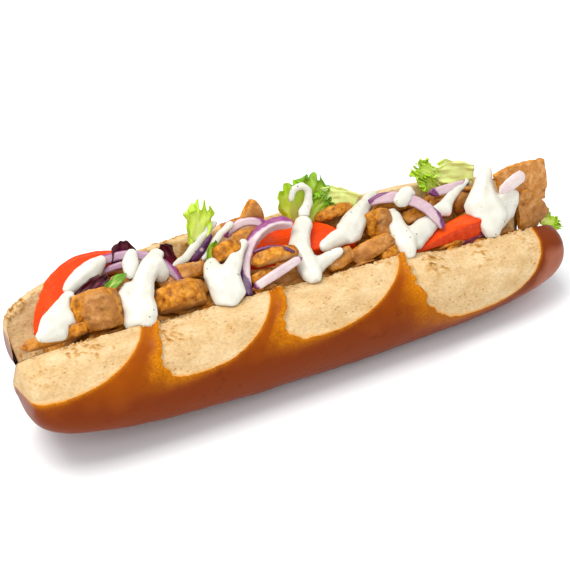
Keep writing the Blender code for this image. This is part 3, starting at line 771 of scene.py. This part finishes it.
def onion_surface():
    surface, tree, shader = new_surface(
        "onion", 0.25, Subsurface_Weight=0.25, Subsurface_Scale=0.003, Specular_IOR_Level=0.45
    )
    shader.inputs["Subsurface Radius"].default_value = (1.0, 0.7, 0.8)
    where = place_in(tree)
    mottle = noise_in(tree, where, 2.6, 4.0, 0.65, 0.4)
    lines = noise_in(tree, place_in(tree, (0.25, 1, 1)), 0.9, 2.0, 0.5)
    pale = ramp(
        tree,
        noted(tree, "blush"),
        (0.0, (0.72, 0.60, 0.57)),
        (0.6, (0.56, 0.38, 0.43)),
        (1.0, (0.38, 0.21, 0.31)),
    )
    purple = ramp(
        tree,
        math_of(tree, "ADD", math_of(tree, "MULTIPLY", mottle, 0.6), noted(tree, "deep")),
        (0.22, (0.50, 0.12, 0.33)),
        (0.55, (0.30, 0.045, 0.20)),
        (0.95, (0.075, 0.012, 0.075)),
    )
    colour = blend_of(tree, noted(tree, "skin"), pale, purple)
    ribs = grey_ramp(tree, lines, (0.35, 0.86), (0.65, 1.05))
    tree.links.new(blend_of(tree, 0.7, colour, ribs, "MULTIPLY"), shader.inputs["Base Color"])
    bump_of(tree, shader, lines, 0.15, 0.5)
    return surface


# How far out the purple skin starts on each piece, how deep it is, and how blushed the flesh.
ONION_LOOKS = {
    "onion_hoop": (0.48, 0.30, 0.30),
    "onion_left_outer": (0.74, 0.35, 0.85),
    "onion_left_inner": (0.80, 0.45, 0.90),
    "onion_middle_back": (0.68, 0.35, 0.45),
    "onion_right_back": (0.78, 0.50, 0.62),
    "onion_sliver": (0.10, 0.55, 0.6),
    "onion_dark_strip": (0.05, 0.65, 0.6),
    "onion_front_strip": (0.90, 0.40, 0.25),
    "onion_right_strip": (0.70, 0.50, 0.45),
    "onion_end_strip": (1.30, 0.1, 0.0),
}


def make_onions(surface):
    for seed, (node, (start, deep, blush)) in enumerate(ONION_LOOKS.items()):
        mesh = refined(node, 0.38, 5, 0.2)
        points, outward = points_of(mesh), normals_of(mesh)
        middle, axes = own_axes(points)
        local = (points - middle) @ axes.T
        # The circle that the piece's middle line lies on gives its outer side.
        system = np.column_stack([local[:, :2], np.ones(len(local))])
        answer = np.linalg.lstsq(system, (local[:, :2] ** 2).sum(axis=1), rcond=None)[0]
        centre = answer[:2] / 2
        away = np.linalg.norm(local[:, :2] - centre, axis=1)
        low, high = np.percentile(away, (2, 98))
        share = (away - low) / (high - low)
        share = share + 0.05 * lattice_noise(points, 2.0, seed)
        skin = smooth_step(start - 0.06, start + 0.06, share)
        # Painted shade: the lower parts of the hoop, sunk into the filling, are made a deeper
        # purple.
        sunk_shade = smooth_step(6.0, 14.0, points[:, 2].max() - points[:, 2])
        if node != "onion_hoop":
            sunk_shade = 0 * sunk_shade
        move_points(mesh, points + outward * (0.10 * rough(points, 5.0, seed, 2))[:, None])
        note(mesh, "skin", skin)
        note(mesh, "deep", deep + 0.35 * sunk_shade)
        note(mesh, "blush", np.clip(blush + 0.25 * lattice_noise(points, 6.0, seed + 5), 0, 1))
        piece(node + "_cut", mesh, (surface,), (node,))


# ---------------------------------------------------------------- leaves

LEAF_ROWS, LEAF_COLUMNS = 26, 40
LEAF_THICKNESS = 0.35


def leaf_surface(name, stops, vein_colour, roughness):
    surface, tree, shader = new_surface(
        name, roughness, Subsurface_Weight=0.2, Subsurface_Scale=0.002, Specular_IOR_Level=0.35
    )
    where = place_in(tree)
    blotch = noise_in(tree, where, 3.5, 4.0, 0.6)
    tone = math_of(tree, "ADD", noted(tree, "pale"), math_of(tree, "MULTIPLY", blotch, 0.35))
    colour = ramp(tree, tone, *stops)
    colour = blend_of(tree, noted(tree, "vein"), colour, vein_colour)
    tree.links.new(colour, shader.inputs["Base Color"])
    bump_of(tree, shader, noise_in(tree, where, 0.9, 3.0, 0.6), 0.2, 0.6)
    return surface


def sheet(base, tip, widths, facing, frill, lobes, teeth, curl, seed, pale):
    """A ruffled sheet from base to tip: points, faces, and paleness and vein at each point.

    Its margin is cut into lobes by teeth, and waves by frill; curl bends its sides forwards.
    The widths and the paleness are given at the base and at the tip."""
    rows, columns = LEAF_ROWS, LEAF_COLUMNS
    base, tip = Vector(base), Vector(tip)
    along = (tip - base).normalized()
    lean = math.radians(facing)
    outward = Vector((0.0, -math.cos(lean), math.sin(lean)))
    outward = (outward - along * outward.dot(along)).normalized()
    across = outward.cross(along)
    length = (tip - base).length
    points, pales, veins = [], [], []
    for i in range(rows + 1):
        t = i / rows
        half = 0.5 * (widths[0] + (widths[1] - widths[0]) * t**0.7)
        for k in range(columns + 1):
            s = 2 * k / columns - 1
            margin = max(abs(s) ** 2, t**3)
            tooth = teeth * (0.5 + 0.5 * math.sin(lobes * math.pi * (t * 2.1 + 0.4 * s) + seed))
            round_top = 1 - 0.45 * t**2 * (1 - math.cos(s * math.pi / 2))
            reach = half * s * (1 - tooth * margin * t) * (1 - 0.35 * t**6)
            notch = 0.5 + 0.5 * math.sin(lobes * math.pi * s * 1.3 + 2 * seed)
            top = 1 - teeth * 0.7 * notch * t**3
            rise = length * t * top * (round_top * 0.35 + 0.65)
            wave = math.sin(lobes * 2.2 * (s + 0.8 * t) * math.pi * 0.5 + seed * 1.7)
            wave += 0.6 * math.sin(lobes * 4.1 * (s - 0.6 * t) * math.pi * 0.5 + seed * 0.9)
            bend = frill * margin * wave + curl * half * s * s
            points.append(base + along * rise + across * reach + outward * bend)
            side_vein = abs(math.sin((t - 0.35 * abs(s)) * lobes * 4.0)) ** 14
            rib = math.exp(-((s / 0.09) ** 2)) * (1 - t)
            veins.append(min(1.0, 0.9 * rib + 0.35 * side_vein * (1 - margin)))
            pales.append(pale[0] * (1 - t) + pale[1] * t - 0.25 * margin + 0.1)
    width = columns + 1
    faces = []
    for i, k in itertools.product(range(rows), range(columns)):
        a = i * width + k
        faces.append((a, a + 1, a + width + 1, a + width))
    return points, faces, pales, veins


def make_leaf(name, sheets, surface, node):
    """Sheets joined into one leaf and given their thickness."""
    points, faces, pales, veins = [], [], [], []
    for options in sheets:
        more, more_faces, more_pales, more_veins = sheet(*options)
        start = len(points)
        points += more
        faces += [tuple(start + v for v in face) for face in more_faces]
        pales += more_pales
        veins += more_veins
    places = np.array([tuple(p) for p in points])
    places += 0.35 * np.stack([lattice_noise(places, 3.0, 50 + axis) for axis in range(3)], axis=1)
    mesh = mesh_from(places, faces)
    note(mesh, "pale", pales)
    note(mesh, "vein", veins)
    shell = piece(name, mesh, (surface,), (node,)).modifiers.new("Thickness", "SOLIDIFY")
    shell.thickness = LEAF_THICKNESS * MM
    shell.offset = 0.0


GREEN_STOPS = (
    (0.0, (0.10, 0.27, 0.004)),
    (0.3, (0.34, 0.58, 0.008)),
    (0.6, (0.58, 0.78, 0.06)),
    (0.95, (0.76, 0.82, 0.28)),
)
RED_STOPS = (
    (0.0, (0.035, 0.004, 0.006)),
    (0.5, (0.075, 0.006, 0.014)),
    (0.9, (0.20, 0.02, 0.05)),
)

# Each leaf: its name, slot and node, then its sheets with sheet's own values, in order.
LEAVES = (
    ("frilly_leaf_left", "leaf", "leaf_frill_left", (
        ((-42, 17, 57), (-35.5, 24, 78.5), (5, 20), 15, 1.2, 2.6, 0.34, 0.05, 1, (0.55, 0.35)),
    )),
    ("frilly_leaf_middle", "leaf", "leaf_frill_middle", (
        ((15, 22, 52), (11, 25, 74), (10, 22), 20, 1.4, 2.0, 0.15, 0.05, 2, (0.5, 0.15)),
        ((18, 23, 53), (28, 27, 73), (12, 26), 20, 1.6, 2.6, 0.22, 0.05, 5, (0.3, 0.0)),
        ((20, 19, 52), (31, 21, 64), (8, 16), 20, 2.0, 3.4, 0.3, 0.05, 6, (0.2, 0.0)),
        ((47, 20, 54), (26, 24, 64), (9, 13), 25, 1.2, 2.0, 0.2, 0.1, 8, (1.2, 0.8)),
    )),
    ("frilly_leaf_right", "leaf", "leaf_frill_right", (
        ((115, 18, 53), (91, 22, 59.5), (9, 16), 20, 1.2, 2.0, 0.2, 0.05, 3, (1.1, 0.7)),
        ((95, 21, 52), (82, 25, 65), (6, 16), 20, 2.0, 4.0, 0.45, 0.05, 7, (0.7, 0.35)),
        ((92, 19, 50), (84, 20, 58), (5, 12), 20, 2.0, 4.0, 0.5, 0.05, 9, (0.5, 0.25)),
    )),
    ("leaf_at_end", "leaf", "leaf_end", (
        ((143, -3, 34), (150, -4, 32), (4, 6), 35, 1.2, 3.0, 0.4, 0.1, 4, (0.4, 0.2)),
        ((144, -4, 30), (156, -7, 23), (5, 9), 35, 1.4, 4.0, 0.5, 0.1, 6, (0.6, 0.3)),
    )),
    ("leaf_inner", "leaf", "leaf_green_inner", (
        ((-42, 2, 57), (-37, 5, 66), (5, 7), 30, 0.6, 1.0, 0.1, 0.2, 2, (0.0, 0.0)),
    )),
    ("leaf_dark", "leaf", "leaf_dark_green", (
        ((-97, -3, 61), (-83.5, 2, 64.5), (4, 5), 50, 0.4, 1.0, 0.1, 0.12, 3, (-0.25, -0.2)),
    )),
    ("red_leaf_left", "red_leaf", "leaf_red_left", (
        ((-81, 14, 60), (-78, 17, 72), (10, 13), 30, 0.8, 1.5, 0.1, 0.25, 1, (0.4, 0.0)),
    )),
    ("red_leaf_curl", "red_leaf", "leaf_red_curl", (
        ((-54, 13, 50), (-60, 18, 64), (5, 9), 30, 1.2, 1.5, 0.1, 0.35, 5, (0.6, 0.0)),
        ((-52, 12, 52), (-44, 13, 58), (4, 6), 30, 0.8, 1.5, 0.1, 0.2, 6, (0.9, 0.5)),
    )),
    ("red_leaf_shade", "red_leaf", "leaf_red_shade", (
        ((-107, 1, 58), (-90, 6, 62.5), (7, 10), 40, 0.6, 2.0, 0.1, 0.1, 7, (0.1, 0.0)),
    )),
    ("red_leaf_rim", "red_leaf", "leaf_red_rim", (
        ((88, -13.5, 37.5), (106, -12.5, 39), (5, 5), 40, 0.6, 2.0, 0.2, 0.1, 8, (0.5, 0.4)),
    )),
)


def make_leaves():
    surfaces = {
        "leaf": leaf_surface("green_leaf", GREEN_STOPS, (0.70, 0.80, 0.28), 0.42),
        "red_leaf": leaf_surface("red_leaf", RED_STOPS, (0.26, 0.02, 0.07), 0.34),
    }
    for name, slot, node, sheets in LEAVES:
        make_leaf(name, sheets, surfaces[slot], node)


# ---------------------------------------------------------------- sauce


def sauce_surface():
    surface, tree, shader = new_surface(
        "sauce", 0.28, Subsurface_Weight=0.35, Subsurface_Scale=0.004, Specular_IOR_Level=0.4
    )
    shader.inputs["Subsurface Radius"].default_value = (1.0, 0.9, 0.75)
    where = place_in(tree)
    broad = noise_in(tree, where, 9.0, 2.0, 0.5)
    cream = ramp(tree, broad, (0.3, (0.63, 0.60, 0.51)), (0.7, (0.71, 0.69, 0.61)))
    specks = cells_in(tree, where, 2.6)
    herbs = ramp(tree, specks, (0.05, (0.25, 0.30, 0.15)), (0.09, WHITE))
    tree.links.new(blend_of(tree, 0.8, cream, herbs, "MULTIPLY"), shader.inputs["Base Color"])
    bump_of(tree, shader, noise_in(tree, where, 3.5, 3.0, 0.6), 0.25, 0.4)
    return surface


# How far strands grow to join where they nearly touch, and how much thicker the sauce ends up.
WEB, SAUCE_SWELL, THIN_SWELL = 1.4, 0.5, -0.1
POINTS_A_FLECK, LOWEST_FACING = 900, -0.2
THIN_SAUCE = ("sauce_curl", "sauce_thread", "sauce_leaf_left")


def make_sauce(surface):
    """The poured sauce; returns some places on it, with their normals, for the herbs."""
    nodes = [name for name in sorted(NODES) if name.startswith("sauce_")]
    draws = random.Random(5)
    spots = []
    for seed, node in enumerate(nodes):
        # Growing, meshing again and shrinking fills the webs between strands.
        grown = refined(node, 0.6, 3, WEB)
        swell = THIN_SWELL if node in THIN_SAUCE else SAUCE_SWELL
        mesh = remeshed(grown, 0.5, 6, swell - WEB)
        points, outward = points_of(mesh), normals_of(mesh)
        height = 0.35 * rough(points, 6.0, seed + 60, 2)
        move_points(mesh, points + outward * height[:, None])
        chosen = draws.sample(range(len(points)), max(3, len(points) // POINTS_A_FLECK))
        places = points_of(mesh)
        spots += [
            (Vector(places[i]), Vector(outward[i])) for i in chosen if outward[i, 2] > LOWEST_FACING
        ]
        piece(node + "_poured", mesh, (surface,), (node,))
    return spots


# ---------------------------------------------------------------- crumbs and herbs


def plain_surface(name, colour, roughness):
    surface, tree, shader = new_surface(name, roughness, Specular_IOR_Level=0.15)
    shade = noise_in(tree, place_in(tree), 1.2, 3.0, 0.6)
    darker = tuple(0.55 * value for value in colour)
    tree.links.new(ramp(tree, shade, (0.3, darker), (0.6, colour)), shader.inputs["Base Color"])
    return surface


def scatter(name, spots, sizes, flatness, surface, seed):
    """Small uneven bits lying at the spots, each a point and its normal."""
    draws = random.Random(seed)
    ball = bmesh.new()
    bmesh.ops.create_icosphere(ball, subdivisions=1, radius=1.0)
    corners = [v.co.copy() for v in ball.verts]
    sides = [[v.index for v in face.verts] for face in ball.faces]
    ball.free()
    points, faces = [], []
    for point, normal in spots:
        turn = Vector((0, 0, 1)).rotation_difference(normal)
        spin = draws.uniform(0, math.tau)
        size = draws.uniform(*sizes)
        start = len(points)
        for corner in corners:
            reach = size * draws.uniform(0.7, 1.25)
            x, y = corner.x * reach, 0.7 * corner.y * reach
            across = x * math.cos(spin) - y * math.sin(spin)
            along = x * math.sin(spin) + y * math.cos(spin)
            local = Vector((across, along, corner.z * flatness * reach))
            local.rotate(turn)
            points.append(point + local + normal * 0.2 * size * flatness)
        faces += [tuple(start + v for v in side) for side in sides]
    piece(name, mesh_from(points, faces), (surface,))


def make_crumbs(rims):
    chosen = random.Random(21).sample(rims, CRUMBS)
    surface = plain_surface("bread_bits", (0.66, 0.42, 0.18), 0.9)
    scatter("bread_crumbs", chosen, (0.25, 0.8), 0.8, surface, 3)


def make_herbs(spots):
    surface = plain_surface("herbs", (0.06, 0.09, 0.02), 0.7)
    scatter("herb_flecks", spots, (0.2, 0.5), 0.25, surface, 8)


# ---------------------------------------------------------------- stage


def make_stage():
    bpy.ops.mesh.primitive_plane_add(size=8.0, location=(0, 0, 0))
    floor = bpy.context.object
    floor.name = "floor"
    surface, _, shader = new_surface("floor", 0.8)
    shader.inputs["Base Color"].default_value = (0.95, 0.95, 0.95, 1)
    floor.data.materials.append(surface)
    world = bpy.data.worlds.new("studio")
    bpy.context.scene.world = world
    world.use_nodes = True
    backdrop = world.node_tree.nodes["Background"]
    backdrop.inputs["Color"].default_value = (0.88, 0.94, 1.0, 1)
    backdrop.inputs["Strength"].default_value = 0.85
    lights = (
        ("key", (-0.35, 0.10, 1.2), 0.9, 14.0, (1.0, 0.97, 0.92)),
        ("fill", (-0.5, -0.9, 0.8), 0.8, 3.0, (1.0, 0.98, 0.95)),
    )
    # Places and sizes of the lights are in metres, and powers in watts.
    for name, place, size, power, colour in lights:
        lamp = bpy.data.lights.new(name, "AREA")
        lamp.size = size
        lamp.energy = power
        lamp.color = colour
        obj = bpy.data.objects.new(name, lamp)
        obj.location = place
        aim = Vector((0, 0, 0.02)) - Vector(place)
        obj.rotation_euler = aim.to_track_quat("-Z", "Y").to_euler()
        bpy.context.scene.collection.objects.link(obj)


CAMERA_DISTANCE = 728.1553


def make_camera():
    """Above and in front of the near half, turned so that the roll rises to the right."""
    azimuth, elevation = math.radians(-28.0), math.radians(35.0)
    back = Vector((math.sin(azimuth), -math.cos(azimuth), math.tan(elevation))).normalized()
    lens = bpy.data.cameras.new("camera")
    lens.sensor_width = 36.0
    lens.lens = 94.736842
    lens.shift_x, lens.shift_y = -0.01228070, 0.02105263
    lens.clip_start = 0.01
    camera = bpy.data.objects.new("camera", lens)
    camera.location = Vector((0, 0, 25)) * MM + back * CAMERA_DISTANCE * MM
    camera.rotation_euler = back.to_track_quat("Z", "Y").to_euler()
    bpy.context.scene.collection.objects.link(camera)
    bpy.context.scene.camera = camera
    bpy.context.scene.view_settings.view_transform = "Standard"


make_camera()
make_stage()
make_crumbs(make_roll())
meat = meat_surface()
make_meat(meat)
make_heap(meat)
make_tomato(tomato_surface())
make_onions(onion_surface())
make_leaves()
make_herbs(make_sauce(sauce_surface()))
